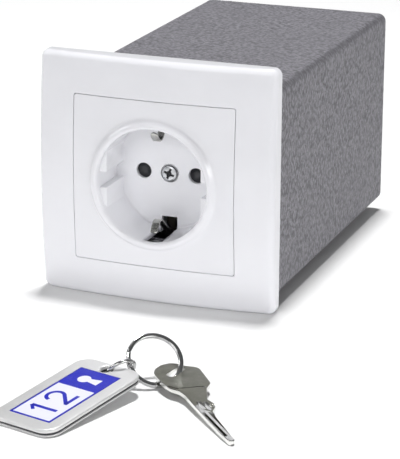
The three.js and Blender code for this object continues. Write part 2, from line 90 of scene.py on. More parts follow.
def coords(nt, scale=1.0, stretch=(1, 1, 1), turn=(0, 0, 0)):
    """Object coordinates in millimetres times scale."""
    tc = nt.nodes.new("ShaderNodeTexCoord")
    mp = nt.nodes.new("ShaderNodeMapping")
    mp.inputs["Scale"].default_value = [1000 * scale * s for s in stretch]
    mp.inputs["Rotation"].default_value = turn
    nt.links.new(tc.outputs["Object"], mp.inputs["Vector"])
    return mp.outputs["Vector"]


def noise(nt, vec, scale, detail=3.0, rough=0.55, distortion=0.0):
    n = node(nt, "ShaderNodeTexNoise", Scale=scale, Detail=detail, Roughness=rough, Distortion=distortion)
    nt.links.new(vec, n.inputs["Vector"])
    return n.outputs["Fac"]


def remap(nt, value, a, b, c, d, smooth=False):
    n = nt.nodes.new("ShaderNodeMapRange")
    n.interpolation_type = "SMOOTHSTEP" if smooth else "LINEAR"
    nt.links.new(value, n.inputs["Value"])
    n.inputs["From Min"].default_value, n.inputs["From Max"].default_value = a, b
    n.inputs["To Min"].default_value, n.inputs["To Max"].default_value = c, d
    return n.outputs["Result"]


def math_node(nt, op, a, b):
    n = nt.nodes.new("ShaderNodeMath")
    n.operation = op
    for i, v in enumerate((a, b)):
        if isinstance(v, (int, float)):
            n.inputs[i].default_value = v
        else:
            nt.links.new(v, n.inputs[i])
    return n.outputs[0]


def mix_colour(nt, fac, a, b):
    n = nt.nodes.new("ShaderNodeMix")
    n.data_type = "RGBA"
    if isinstance(fac, (int, float)):
        n.inputs["Factor"].default_value = fac
    else:
        nt.links.new(fac, n.inputs["Factor"])
    for key, v in ((6, a), (7, b)):
        if isinstance(v, tuple):
            n.inputs[key].default_value = (*v, 1.0) if len(v) == 3 else v
        else:
            nt.links.new(v, n.inputs[key])
    return n.outputs[2]


def bump(nt, bsdf, height, strength, distance_mm):
    b = nt.nodes.new("ShaderNodeBump")
    b.inputs["Strength"].default_value = strength
    b.inputs["Distance"].default_value = distance_mm / 1000
    nt.links.new(height, b.inputs["Height"])
    nt.links.new(b.outputs["Normal"], bsdf.inputs["Normal"])
    return b


def gloss_plastic(name, colour, rough=0.2, dark=0.965, grain=0.35, coat=0.25, inner=None, painted_light_low=0.0):
    m, nt, s = new_material(name)
    v = coords(nt)
    cloud = noise(nt, v, 0.045, 3.0, 0.5)
    fine = noise(nt, v, 1.6, 4.0, 0.6)
    c = mix_colour(nt, remap(nt, cloud, 0.35, 0.65, 0, 1), colour, tuple(x * dark for x in colour))
    # painted light: the colour is lifted towards the bottom of the part, fading out 56 mm up
    if painted_light_low:
        axes = nt.nodes.new("ShaderNodeSeparateXYZ")
        nt.links.new(v, axes.inputs[0])
        c = mix_colour(nt, remap(nt, axes.outputs["Z"], 0.0, 56.0, 1.0, 0.0), c, tuple(min(1.0, x * painted_light_low) for x in colour))
    if inner:
        # painted light and shade: inside the round recess the colour is brighter than the plate, full over its lower
        # part, and painted darker higher up, most on the walls
        flat_v = nt.nodes.new("ShaderNodeVectorMath")
        flat_v.operation = "MULTIPLY"
        nt.links.new(v, flat_v.inputs[0])
        flat_v.inputs[1].default_value = (1, 0, 1)
        dist = nt.nodes.new("ShaderNodeVectorMath")
        dist.operation = "DISTANCE"
        nt.links.new(flat_v.outputs["Vector"], dist.inputs[0])
        dist.inputs[1].default_value = (SHIFT[0], 0, SHIFT[2])
        upper = mix_colour(nt, remap(nt, axes.outputs["Y"], 7.2, 8.9, 0.0, 1.0), tuple(x * 0.83 for x in inner), tuple(x * 0.94 for x in inner))
        lower = mix_colour(nt, remap(nt, axes.outputs["Z"], 27.0, 46.0, 0.0, 1.0), inner, upper)
        c = mix_colour(nt, remap(nt, dist.outputs["Value"], 19.45, 20.6, 1.0, 0.0, True), c, lower)
    nt.links.new(c, s.inputs["Base Color"])
    nt.links.new(remap(nt, fine, 0.3, 0.7, rough * 0.82, rough * 1.2), s.inputs["Roughness"])
    s.inputs["IOR"].default_value = 1.5
    s.inputs["Coat Weight"].default_value = coat
    s.inputs["Coat Roughness"].default_value = 0.08
    peel = noise(nt, v, 0.55, 2.0, 0.5)
    h = math_node(nt, "ADD", math_node(nt, "MULTIPLY", peel, 1.0), math_node(nt, "MULTIPLY", fine, 0.12))
    bump(nt, s, h, grain, 0.02)
    return m


def wrinkle_coat(name, colour):
    """Wrinkle-finish powder coat on steel: fine closed leathery wrinkles about a millimetre long."""
    m, nt, s = new_material(name)
    v = coords(nt)
    warp = node(nt, "ShaderNodeTexNoise", Scale=0.5, Detail=2.0, Roughness=0.5)
    nt.links.new(v, warp.inputs["Vector"])
    add = nt.nodes.new("ShaderNodeVectorMath")
    add.operation = "MULTIPLY_ADD"
    nt.links.new(warp.outputs["Color"], add.inputs[0])
    add.inputs[1].default_value = (1.5, 1.5, 1.5)
    # the wrinkles are a little longer across the top and down the sides
    drawn = nt.nodes.new("ShaderNodeVectorMath")
    drawn.operation = "MULTIPLY"
    nt.links.new(v, drawn.inputs[0])
    drawn.inputs[1].default_value = (0.78, 1.0, 0.62)
    nt.links.new(drawn.outputs["Vector"], add.inputs[2])

    def cells(scale):
        n = nt.nodes.new("ShaderNodeTexVoronoi")
        n.feature = "SMOOTH_F1"
        n.inputs["Scale"].default_value = scale
        n.inputs["Smoothness"].default_value = 0.6
        nt.links.new(add.outputs[0], n.inputs["Vector"])
        return n.outputs["Distance"]

    grain = noise(nt, v, 5.0, 3.0, 0.6)
    swell = noise(nt, v, 0.22, 3.0, 0.55)
    big = noise(nt, v, 0.03, 4.0, 0.55)
    patch = noise(nt, v, 0.10, 2.0, 0.5)
    h = math_node(nt, "ADD", math_node(nt, "MULTIPLY", cells(0.92), -1.0),
                  math_node(nt, "ADD", math_node(nt, "MULTIPLY", cells(2.0), -0.40), math_node(nt, "MULTIPLY", grain, 0.16)))
    crest = remap(nt, h, -0.95, -0.2, 0.0, 1.0, True)
    # painted shade and highlight: the wrinkle crests are coloured lighter and the hollows between them darker
    c = mix_colour(nt, crest, tuple(x * 0.54 for x in colour), tuple(x * 1.34 for x in colour))
    c = mix_colour(nt, remap(nt, big, 0.3, 0.7, 0.0, 0.5), c, tuple(x * 0.90 for x in colour))
    # the coat is coloured darker along the long bends of the box, as painted shade
    axes = nt.nodes.new("ShaderNodeSeparateXYZ")
    nt.links.new(v, axes.inputs[0])
    mid_x, mid_z = (BX0 + BX1) / 2 + SHIFT[0], (BZ0 + BZ1) / 2 + SHIFT[2]
    over_x = math_node(nt, "SUBTRACT", math_node(nt, "ABSOLUTE", math_node(nt, "SUBTRACT", axes.outputs["X"], mid_x), 0.0), (BX1 - BX0) / 2 - 1.6)
    over_z = math_node(nt, "SUBTRACT", math_node(nt, "ABSOLUTE", math_node(nt, "SUBTRACT", axes.outputs["Z"], mid_z), 0.0), (BZ1 - BZ0) / 2 - 1.6)
    edge = math_node(nt, "MINIMUM", over_x, over_z)
    c = mix_colour(nt, remap(nt, edge, -0.8, 0.6, 0.0, 0.62, True), c, tuple(x * 0.42 for x in colour))
    nt.links.new(c, s.inputs["Base Color"])
    nt.links.new(remap(nt, crest, 0.0, 1.0, 0.64, 0.46), s.inputs["Roughness"])
    hh = math_node(nt, "ADD", math_node(nt, "MULTIPLY", h, remap(nt, patch, 0.35, 0.65, 0.55, 1.15)), math_node(nt, "MULTIPLY", swell, 1.1))
    bump(nt, s, hh, 1.0, 0.52)
    return m


def metal(name, colour, rough, streak=(1, 1, 1), scratch=0.25, dirt=0.85, turn=(0, 0, 0), scale=1.0, metallic=1.0):
    """Metal with fine grain drawn out along the axis whose streak is small."""
    m, nt, s = new_material(name)
    v = coords(nt, scale, streak, turn)
    fine = noise(nt, v, 9.0, 4.0, 0.6)
    patch = noise(nt, coords(nt), 0.22, 4.0, 0.6)
    s.inputs["Metallic"].default_value = metallic
    c = mix_colour(nt, remap(nt, patch, 0.32, 0.68, 0, 1), colour, tuple(x * dirt for x in colour))
    nt.links.new(c, s.inputs["Base Color"])
    r = math_node(nt, "ADD", remap(nt, fine, 0.3, 0.7, rough * 0.75, rough * 1.25), remap(nt, patch, 0.4, 0.7, 0.0, rough * 0.3))
    nt.links.new(r, s.inputs["Roughness"])
    bump(nt, s, fine, scratch, 0.012)
    return m


def satin_plastic(name, colour, rough=0.45):
    m, nt, s = new_material(name)
    v = coords(nt)
    spark = noise(nt, v, 6.0, 3.0, 0.6)
    cloud = noise(nt, v, 0.15, 3.0, 0.5)
    c = mix_colour(nt, remap(nt, cloud, 0.3, 0.7, 0, 1), colour, tuple(x * 0.86 for x in colour))
    nt.links.new(c, s.inputs["Base Color"])
    nt.links.new(remap(nt, spark, 0.3, 0.7, rough * 0.85, rough * 1.15), s.inputs["Roughness"])
    bump(nt, s, spark, 0.35, 0.03)
    return m


# both whites carry painted light lifted towards the bottom; the recess one also carries painted light and shade inside
# the recess
WHITE = gloss_plastic("white_moulding", (0.805, 0.805, 0.838), painted_light_low=1.10)
DISH = gloss_plastic("white_moulding_recess", (0.805, 0.805, 0.838), inner=(0.968, 0.968, 1.0), painted_light_low=1.08)
COAT = wrinkle_coat("wrinkle_coat", (0.202, 0.197, 0.219))
ZINC = metal("zinc_plate", (0.72, 0.73, 0.75), 0.26, scratch=0.2)
SHEET = metal("sheet_steel", (0.55, 0.55, 0.56), 0.36, streak=(0.08, 1, 1), scratch=0.4)
DARK = satin_plastic("dark_moulding", (0.040, 0.040, 0.046), 0.40)
NYLON = satin_plastic("natural_moulding", (0.66, 0.65, 0.60), 0.5)
BRASS = metal("turned_brass", (0.62, 0.45, 0.19), 0.24, streak=(1, 0.2, 1), scratch=0.35)
# near-black metal, used as painted shade in the centre screw's recess and round its head
RECESS = metal("recess_painted_shade", (0.085, 0.085, 0.090), 0.45, scratch=0.4)
# the lock plug's brass coloured near black, as painted shade for the dark cavity behind the lower slot
BLACKED = metal("plug_painted_near_black", (0.050, 0.044, 0.036), 0.42, streak=(1, 0.2, 1), scratch=0.35)
# darker, olive copy of the key metal: painted dark reflection on the face of the bow
KEYMETAL = metal("key_bow_painted_dark", (0.205, 0.205, 0.172), 0.38, streak=(1, 0.12, 1), scratch=0.5, turn=(0, 0, math.radians(46.5)))
KEYEDGE = metal("cut_key_edge", (0.86, 0.86, 0.83), 0.17, streak=(1, 1, 0.2), scratch=0.3)
# near-black metal, used as painted shade in the key's grooves and milled line
KEYGROOVE = metal("key_groove_painted_shade", (0.040, 0.038, 0.034), 0.38, streak=(1, 0.15, 1), scratch=0.5, turn=(0, 0, math.radians(46.5)))
CLIP = metal("spring_clip", (0.60, 0.60, 0.57), 0.24, streak=(1, 0.15, 1), scratch=0.35)
SPRING = metal("bright_wire", (0.62, 0.62, 0.62), 0.13, streak=(1, 1, 1), scratch=0.05, dirt=0.92)
TAG = metal("brushed_tag", (0.74, 0.74, 0.74), 0.36, streak=(1, 0.10, 1), scratch=0.35, dirt=0.96, turn=(0, 0, math.radians(-75)), metallic=0.45)


def rubber():
    m, nt, s = new_material("mat_rubber")
    v = coords(nt)
    a = noise(nt, v, 3.2, 4.0, 0.65)
    b = noise(nt, v, 0.08, 3.0, 0.5)
    c = mix_colour(nt, remap(nt, b, 0.3, 0.7, 0, 1), (0.028, 0.028, 0.031), (0.045, 0.044, 0.044))
    nt.links.new(c, s.inputs["Base Color"])
    nt.links.new(remap(nt, a, 0.3, 0.7, 0.68, 0.9), s.inputs["Roughness"])
    bump(nt, s, a, 0.5, 0.08)
    return m


RUBBER = rubber()
BLUE = gloss_plastic("blue_print", (0.004, 0.010, 0.46), 0.4, 0.9, 0.2, 0.0)
PAPER = gloss_plastic("white_print", (0.80, 0.80, 0.90), 0.35, 0.97, 0.2, 0.1)


# ------------------------------------------------------------------ mesh helpers
def to_object(name, verts, faces, body, material, smooth=35.0, place=None, face_material=None, shift=True):
    """verts in millimetres, in the drawing frame unless place takes them there."""
    co = np.asarray(verts, float)
    if place is not None:
        co = co @ np.array(place.to_3x3()).T + np.array(place.translation)
    if shift:
        co = co + np.array(SHIFT)
    me = bpy.data.meshes.new(name)
    me.from_pydata((co / 1000).tolist(), [], [list(f) for f in faces])
    me.validate(clean_customdata=False)
    ob = bpy.data.objects.new(name, me)
    scene.collection.objects.link(ob)
    mats = material if isinstance(material, (list, tuple)) else [material]
    for m in mats:
        me.materials.append(m)
    if face_material is not None:
        me.polygons.foreach_set("material_index", np.asarray(face_material, np.int32))
    finish_mesh(ob, smooth)
    if body:
        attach(ob, body)
    return ob


def finish_mesh(ob, smooth=35.0):
    me = ob.data
    bm = bmesh.new()
    bm.from_mesh(me)
    bmesh.ops.remove_doubles(bm, verts=bm.verts, dist=1e-7)
    bmesh.ops.recalc_face_normals(bm, faces=bm.faces)
    bm.to_mesh(me)
    bm.free()
    if smooth:
        me.shade_smooth()
        me.set_sharp_from_angle(angle=math.radians(smooth))
    me.update()


def loft(loops, closed=False, caps=True, u_closed=True):
    n = len(loops[0])
    verts = [tuple(p) for l in loops for p in l]
    faces = []
    joins = len(loops) if closed else len(loops) - 1
    for k in range(joins):
        a, b = k * n, ((k + 1) % len(loops)) * n
        for i in range(n if u_closed else n - 1):
            j = (i + 1) % n
            faces.append((a + i, a + j, b + j, b + i))
    if not closed and caps:
        faces.append(tuple(range(n)))
        faces.append(tuple(reversed(range((len(loops) - 1) * n, len(loops) * n))))
    return verts, faces


def lathe(profile, n, centre=(0, 0, 0), axis="y"):
    """profile of (radius, along) from one end on the axis to the other; closed solid."""
    loops = []
    for r, a in profile:
        r = max(r, 1e-4)
        ring = []
        for i in range(n):
            t = 2 * math.pi * i / n
            u, w = r * math.cos(t), r * math.sin(t)
            p = {"y": (u, a, w), "z": (u, w, a), "x": (a, u, w)}[axis]
            ring.append(tuple(p[k] + centre[k] for k in range(3)))
        loops.append(ring)
    return loft(loops)


def rounded_loop(x0, x1, z0, z1, r, corner=8, side=1):
    pts = []
    cs = [(x1 - r, z1 - r, 0), (x0 + r, z1 - r, 90), (x0 + r, z0 + r, 180), (x1 - r, z0 + r, 270)]
    for q in range(4):
        px, pz, a0 = cs[q]
        for i in range(corner + 1):
            a = math.radians(a0 + 90 * i / corner)
            pts.append((px + r * math.cos(a), pz + r * math.sin(a)))
        nx, nz, b0 = cs[(q + 1) % 4]
        e = pts[-1]
        b = math.radians(b0)
        nxt = (nx + r * math.cos(b), nz + r * math.sin(b))
        for i in range(1, side):
            pts.append((e[0] + (nxt[0] - e[0]) * i / side, e[1] + (nxt[1] - e[1]) * i / side))
    return pts


def sq(h, r, corner=10, side=30):
    return rounded_loop(-h, h, -h, h, r, corner, side)


_UNIT = None


def circ(r, corner=10, side=30):
    out = []
    for x, z in sq(10, 3, corner, side):
        l = math.hypot(x, z)
        out.append((x * r / l, z * r / l))
    return out


def crown(x, z):
    return -CROWN_Y + (x * x + z * z) / (2 * CROWN_R)


def flat(loop, y):
    return [(x, y, z) for x, z in loop]


def on_crown(loop, back=0.0):
    return [(x, crown(x, z) + back, z) for x, z in loop]


def block(x0, x1, y0, y1, z0, z1, bevel=0.0, segments=2):
    """A box with rounded edges, as vertices and faces."""
    bm = bmesh.new()
    bmesh.ops.create_cube(bm, size=1.0)
    for v in bm.verts:
        v.co = Vector(((x0 + x1) / 2 + v.co.x * (x1 - x0), (y0 + y1) / 2 + v.co.y * (y1 - y0), (z0 + z1) / 2 + v.co.z * (z1 - z0)))
    if bevel:
        bmesh.ops.bevel(bm, geom=list(bm.edges), offset=bevel, segments=segments, affect="EDGES", profile=0.5)
    bm.verts.index_update()
    verts = [tuple(v.co) for v in bm.verts]
    faces = [[v.index for v in f.verts] for f in bm.faces]
    bm.free()
    return verts, faces


def extrude(loop, a, b, axis="y", bevel=0.0, segments=2, holes=()):
    """Outline (with holes) drawn out from a to b, its rims rounded by bevel. axis y: outline in x, z. axis z: x, y. axis x: y, z."""
    def at(p, h):
        return {"y": (p[0], h, p[1]), "z": (p[0], p[1], h), "x": (h, p[0], p[1])}[axis]

    def inset(lp, d):
        n = len(lp)
        area = sum(lp[i][0] * lp[(i + 1) % n][1] - lp[(i + 1) % n][0] * lp[i][1] for i in range(n))
        sgn = 1 if area > 0 else -1
        out = []
        for i in range(n):
            p0, p1, p2 = lp[i - 1], lp[i], lp[(i + 1) % n]
            e0 = np.array([p1[0] - p0[0], p1[1] - p0[1]]); e0 = e0 / (np.linalg.norm(e0) or 1)
            e1 = np.array([p2[0] - p1[0], p2[1] - p1[1]]); e1 = e1 / (np.linalg.norm(e1) or 1)
            n0, n1 = np.array([-e0[1], e0[0]]) * sgn, np.array([-e1[1], e1[0]]) * sgn
            m = n0 + n1
            l = np.linalg.norm(m)
            m = m / l if l > 1e-6 else n0
            k = d / max(0.35, float(m @ n0))
            out.append((p1[0] + m[0] * k, p1[1] + m[1] * k))
        return out

    bm = bmesh.new()
    rims = {a: [], b: []}
    for li, lp in enumerate([loop, *holes]):
        d = bevel if li == 0 else -bevel
        levels = []
        if bevel:
            for i in range(segments + 1):
                t = math.pi / 2 * i / segments
                levels.append((a + bevel * (1 - math.sin(t)) * (1 if b > a else -1), d * (1 - math.cos(t))))
            levels = [(a + (bevel * (1 - math.cos(math.pi / 2 * i / segments))) * (1 if b > a else -1), d * (1 - math.sin(math.pi / 2 * i / segments))) for i in range(segments + 1)]
            top = [(b - (bevel * (1 - math.cos(math.pi / 2 * i / segments))) * (1 if b > a else -1), d * (1 - math.sin(math.pi / 2 * i / segments))) for i in range(segments + 1)]
            levels = levels + list(reversed(top))
        else:
            levels = [(a, 0.0), (b, 0.0)]
        rings = []
        for h, off in levels:
            pts = inset(lp, off) if off else lp
            rings.append([bm.verts.new(at(p, h)) for p in pts])
        n = len(lp)
        for r0, r1 in zip(rings, rings[1:]):
            for i in range(n):
                j = (i + 1) % n
                bm.faces.new((r0[i], r0[j], r1[j], r1[i]))
        rims[a].append(rings[0])
        rims[b].append(rings[-1])
    for h in (a, b):
        if len(rims[h]) == 1:
            bm.faces.new(rims[h][0] if h == a else list(reversed(rims[h][0])))
        else:
            edges = []
            for ring in rims[h]:
                for i in range(len(ring)):
                    e = bm.edges.get((ring[i], ring[(i + 1) % len(ring)]))
                    edges.append(e)
            bmesh.ops.triangle_fill(bm, use_beauty=True, use_dissolve=False, edges=edges)
    bmesh.ops.recalc_face_normals(bm, faces=bm.faces)
    bm.verts.index_update()
    verts = [tuple(v.co) for v in bm.verts]
    faces = [[v.index for v in f.verts] for f in bm.faces]
    bm.free()
    return verts, faces


def temp(verts, faces, place=None):
    ob = to_object("temp", verts, faces, None, [], smooth=None, place=place)
    return ob


def boolean(ob, other, how):
    mod = ob.modifiers.new("b", "BOOLEAN")
    mod.operation = how
    mod.object = other
    mod.solver = "MANIFOLD"
    bpy.context.view_layer.update()
    dg = bpy.context.evaluated_depsgraph_get()
    me = bpy.data.meshes.new_from_object(ob.evaluated_get(dg))
    ob.modifiers.clear()
    old = ob.data
    ob.data = me
    bpy.data.meshes.remove(old)
    bpy.data.objects.remove(other)
    return ob


def adopt(ob, name, body, material, smooth=35.0):
    ob.name = name
    ob.data.name = name
    ob.data.materials.clear()
    for m in material if isinstance(material, (list, tuple)) else [material]:
        ob.data.materials.append(m)
    finish_mesh(ob, smooth)
    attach(ob, body)
    return ob


def join_shells(name, shells, body, material, smooth=35.0, place=None):
    """Several closed shells that touch or interlock, kept in one object."""
    verts, faces, fm = [], [], []
    for k, item in enumerate(shells):
        v, f = item[0], item[1]
        m = item[2] if len(item) > 2 else 0
        base = len(verts)
        verts += list(v)
        faces += [[i + base for i in g] for g in f]
        fm += [m] * len(f)
    return to_object(name, verts, faces, body, material, smooth, place, fm)


# ------------------------------------------------------------------ cover frame
def make_cover_frame():
    R = 2.0
    loops = [flat(sq(40.8, 1.6), 0.0), flat(sq(41.85, 2.5), 0.0), flat(sq(42.0, 2.6), -0.15)]
    for k in range(13):
        a = math.radians(90 * k / 12)
        d, e = R * (1 - math.cos(a)), R * (1 - math.sin(a))
        lp = sq(FRAME - d, max(2.6 - d * 0.7, 0.5))
        loops.append([(x, crown(x, z) + e, z) for x, z in lp])
    for h, r in [(39.2, 1.2), (38.2, 1.3), (37.2, 1.4), (36.0, 1.4), (34.6, 1.3), (33.2, 1.2), (31.8, 1.1), (30.6, 1.0), (29.8, 0.9), (29.15, 0.85)]:
        loops.append(on_crown(sq(h, r)))
    for k in range(1, 5):
        a = math.radians(90 * k / 4)
        loops.append(on_crown(sq(28.80 + 0.13 * (1 - math.sin(a)), 0.8), 0.13 * (1 - math.cos(a))))
    loops += [flat(sq(28.80, 0.8), -4.9), flat(sq(26.4, 0.6), -4.9), flat(sq(26.4, 0.6), -3.4), flat(sq(31.0, 0.6), -3.4), on_crown(sq(33.0, 1.0), 2.0)]
    loops.append([(x, crown(x, z) + 2.4, z) for x, z in sq(39.4, 1.4)])
    v, f = loft(loops, closed=True)
    ob = to_object("cover_frame_moulding", v, f, "drawer", WHITE, 40)
    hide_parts("cover_frame")


# ------------------------------------------------------------------ centre plate, lip and recess
def make_socket_cover():
    s = SEAM - 0.1
    C = circ
    outer = sq(s - 0.45, 0.8)
    foot = C(LIP_R + 0.9)

    def mix(a, b, t):
        return [(p[0] + (q[0] - p[0]) * t, p[1] + (q[1] - p[1]) * t) for p, q in zip(a, b)]

    loops = [flat(sq(s, 0.8), -5.3)]
    for k in range(0, 5):
        a = math.radians(90 * k / 4)
        loops.append(on_crown(sq(s - 0.14 * (1 - math.cos(a)), 0.8), 0.14 * (1 - math.sin(a))))
    loops.append(on_crown(outer))
    for t in (0.12, 0.25, 0.4, 0.55, 0.7, 0.85):
        loops.append(on_crown(mix(outer, foot, t)))
    loops.append(on_crown(foot))
    # lip: soft fillet at its foot, round top, then down the wall
    base = crown(LIP_R, 0)
    prof = [(22.95, base + 0.02), (22.75, base - 0.06), (22.55, base - 0.18), (22.33, base - 0.38), (22.1, base - 0.64), (21.87, base - 0.9), (21.62, base - 1.13),
            (21.35, -10.66), (21.05, -10.82), (20.78, -10.9), (20.5, -10.93), (20.25, -10.88), (20.02, -10.77), (19.8, -10.56), (19.64, -10.3), (19.55, -10.0), (19.5, -9.6), (19.48, -8.3), (19.42, -2.0), (19.36, 5.9),
            (19.28, 6.35), (19.1, 6.7), (18.8, 6.92), (18.4, FLOOR_Y), (12.0, FLOOR_Y), (6.0, FLOOR_Y), (2.0, FLOOR_Y)]
    for r, y in prof:
        loops.append(flat(C(r), y))
    loops += [flat(C(2.0), FLOOR_Y + 1.6), flat(C(21.0), FLOOR_Y + 1.6), flat(C(21.0), -6.0), flat(sq(s - 1.5, 0.6), -5.3)]
    v, f = loft(loops, closed=True)
    ob = temp(v, f)
    for sx in (-1, 1):
        for sz in (-1, 1):
            x0, x1 = (-20.2, -FLAT_X) if sx < 0 else (FLAT_X, 20.2)
            z0, z1 = (-9.95, -GROOVE) if sz < 0 else (GROOVE, 9.95)
            bv, bf = block(x0, x1, -8.2, FLOOR_Y + 0.6, z0, z1, 0.22, 3)
            blk = temp(bv, bf)
            rv, rf = lathe([(0, -20), (20.3, -20), (20.3, 20), (0, 20)], 96)
            blk = boolean(blk, temp(rv, rf), "INTERSECT")
            ob = boolean(ob, blk, "UNION")
    # earth slots: square cut through the floor and the wall, its outer end rounded
    for sz in (-1, 1):
        z0, z1 = (-21.4, -15.3) if sz < 0 else (15.3, 21.4)
        bv, bf = block(-SLOT, SLOT, -9.4, FLOOR_Y + 3, z0, z1, 0.18, 2)
        ob = boolean(ob, temp(bv, bf), "DIFFERENCE")
        z0, z1 = (-21.3, -18.9) if sz < 0 else (18.9, 21.3)
        bv, bf = block(-SLOT - 0.55, 0, -9.35, FLOOR_Y - 1.2, z0, z1, 0.1, 2)
        ob = boolean(ob, temp(bv, bf), "DIFFERENCE")
        # broken edges along the slot, and square corners where the guide grooves meet the floor
        for x, z in ((SLOT, 19.25), (-SLOT - 0.55, 19.15)):
            bv, bf = block(-0.28, 0.28, -9.3, FLOOR_Y - 0.3, -0.28, 0.28)
            ob = boolean(ob, temp(bv, bf, Matrix.Translation((x, 0, sz * z)) @ Matrix.Rotation(math.pi / 4, 4, "Y")), "DIFFERENCE")
        bv, bf = block(-19.42, -16.5, 4.2, FLOOR_Y, -GROOVE, GROOVE) if sz < 0 else block(16.5, 19.42, 4.2, FLOOR_Y, -GROOVE, GROOVE)
        ob = boolean(ob, temp(bv, bf), "DIFFERENCE")
    # shallow lead-in ramp beside the lower slot, widening towards the lip, and its mirror beside the upper one
    for sz in (-1, 1):
        foot3 = [(2.5, 7.3, 19.2), (2.5, -9.35, 20.1), (10.6, -9.35, 16.3)]
        tri = [[(x, y, sz * z) for x, y, z in foot3], [(x, y, sz * (z - 6.0)) for x, y, z in foot3]]
        wv, wf = loft(tri)
        ob = boolean(ob, temp(wv, wf), "DIFFERENCE")
    for x in (-PIN, PIN):
        pv, pf = lathe([(0, FLOOR_Y - 1), (PIN_R + 0.45, FLOOR_Y - 1), (PIN_R + 0.25, FLOOR_Y - 0.02), (PIN_R + 0.07, FLOOR_Y + 0.07), (PIN_R, FLOOR_Y + 0.25), (PIN_R, FLOOR_Y + 3), (0, FLOOR_Y + 3)], 64, (x, 0, 0))
        ob = boolean(ob, temp(pv, pf), "DIFFERENCE")
    pv, pf = lathe([(0, FLOOR_Y - 1), (3.4, FLOOR_Y - 1), (3.32, FLOOR_Y - 0.02), (3.2, FLOOR_Y + 0.12), (3.2, FLOOR_Y + 0.9), (1.9, FLOOR_Y + 0.9), (1.9, FLOOR_Y + 3), (0, FLOOR_Y + 3)], 64)
    ob = boolean(ob, temp(pv, pf), "DIFFERENCE")
    ob = adopt(ob, "socket_cover_moulding", "drawer", DISH, 32)
    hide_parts("socket_cover")


# ------------------------------------------------------------------ small parts in the recess
def make_recess_parts():
    # dark blanks, slightly dished
    for name, x in (("pin_blank_left", -PIN), ("pin_blank_right", PIN)):
        r = PIN_R - 0.3
        prof = [(0, FLOOR_Y + 2.5), (0.6, FLOOR_Y + 2.45), (1.2, FLOOR_Y + 2.25), (1.7, FLOOR_Y + 1.9), (r - 0.3, FLOOR_Y + 1.3), (r - 0.1, FLOOR_Y + 1.0), (r, FLOOR_Y + 1.1), (r, FLOOR_Y + 1.9), (3.45, FLOOR_Y + 1.9),
                (3.6, FLOOR_Y + 2.05), (3.6, FLOOR_Y + 3.25), (3.45, FLOOR_Y + 3.4), (0, FLOOR_Y + 3.4)]
        v, f = lathe(prof, 48, (x, 0, 0))
        ob = to_object(name + "_plug", v, f, "drawer", DARK, 40)
        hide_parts(name)

    # centre screw: domed pan head with a four-winged recess and the four fine marks between the wings
    y0 = FLOOR_Y - 0.9
    head = [(0, y0 + 0.0), (1.2, y0 + 0.02), (1.95, y0 + 0.10), (2.4, y0 + 0.24), (2.66, y0 + 0.42), (2.82, y0 + 0.62), (2.82, y0 + 0.70), (2.5, y0 + 0.78), (2.5, y0 + 1.45), (1.5, y0 + 1.5), (1.5, FLOOR_Y + 8.6), (1.1, FLOOR_Y + 9), (0, FLOOR_Y + 9)]
    v, f = lathe(head, 64)
    ob = temp(v, f)
    turn = math.radians(20)
    for k in range(2):
        pv, pf = block(-1.9, 1.9, y0 - 0.6, y0 + 0.95, -0.42, 0.42, 0.1, 2)
        ob = boolean(ob, temp(pv, pf, Matrix.Rotation(turn + k * math.pi / 2, 4, "Y")), "DIFFERENCE")
        pv, pf = block(-2.7, 2.7, y0 - 0.6, y0 + 0.16, -0.07, 0.07)
        ob = boolean(ob, temp(pv, pf, Matrix.Rotation(turn + math.pi / 4 + k * math.pi / 2, 4, "Y")), "DIFFERENCE")
    pv, pf = lathe([(0, y0 - 0.5), (1.15, y0 - 0.5), (0.95, y0 + 0.6), (0.4, y0 + 1.2), (0, y0 + 1.3)], 24)
    ob = boolean(ob, temp(pv, pf), "DIFFERENCE")
    ob = adopt(ob, "centre_screw_head", "drawer", ZINC, 30)
    # painted shade: faces in the cross recess and round the head's rim, where it meets its seat, take the near-black
    # metal
    ob.data.materials.append(RECESS)
    idx = []
    for p in ob.data.polygons:
        x, y, z = (Vector(p.center) * 1000 - Vector(SHIFT))
        r = math.hypot(x, z)
        idx.append(1 if (r < 2.05 and y0 + 0.22 < y < y0 + 1.4) or (r > 2.62 and y > y0 + 0.5) or (r > 2.3 and y > y0 + 0.66) else 0)
    ob.data.polygons.foreach_set("material_index", idx)
    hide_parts("centre_screw")

    # earth bracket: pad and arm behind the recess, and a bent leaf through each slot, all with eased edges
    clip = [(FLOOR_Y + 2.4, 22.2), (FLOOR_Y + 2.3, 21.4), (FLOOR_Y + 1.6, 20.6), (5.5, 19.2), (2.6, 17.2), (0.9, 15.75), (-0.3, 14.75), (-1.4, 14.15), (-2.6, 13.95), (-3.6, 14.25), (-4.5, 15.1), (-5.4, 16.2), (-6.2, 17.4)]
    b0, b1 = FLOOR_Y + 2.05, FLOOR_Y + 2.75
    shells = []
    for sz in (-1, 1):
        shells.append(strip_shell([(y, sz * z) for y, z in clip], 0.6, -1.9, 0.7, tip=1.3 if sz > 0 else 0.35))
        z0, z1 = (-22.6, -20.6) if sz < 0 else (20.6, 22.6)
        shells.append(block(-5.0, 0.7, b0 + 0.02, b1 - 0.02, z0, z1, 0.12, 2))
    shells.append(extrude(rounded_loop(-4.6, 4.6, -6.5, 6.5, 1.0, 5), b0, b1, "y", 0.12, 2, [circle2(1.8, 24)]))
    shells.append(block(-5.6, -3.7, b0 + 0.01, b1 - 0.01, -22.6, 22.6, 0.12, 2))
    ob = join_shells("earth_clips", shells, "drawer", CLIP, 35)
    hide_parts("earth_bracket")


def circle2(r, n, c=(0, 0), clockwise=True):
    return [(c[0] + r * math.cos(2 * math.pi * i / n), c[1] + (-1 if clockwise else 1) * r * math.sin(2 * math.pi * i / n)) for i in range(n)]


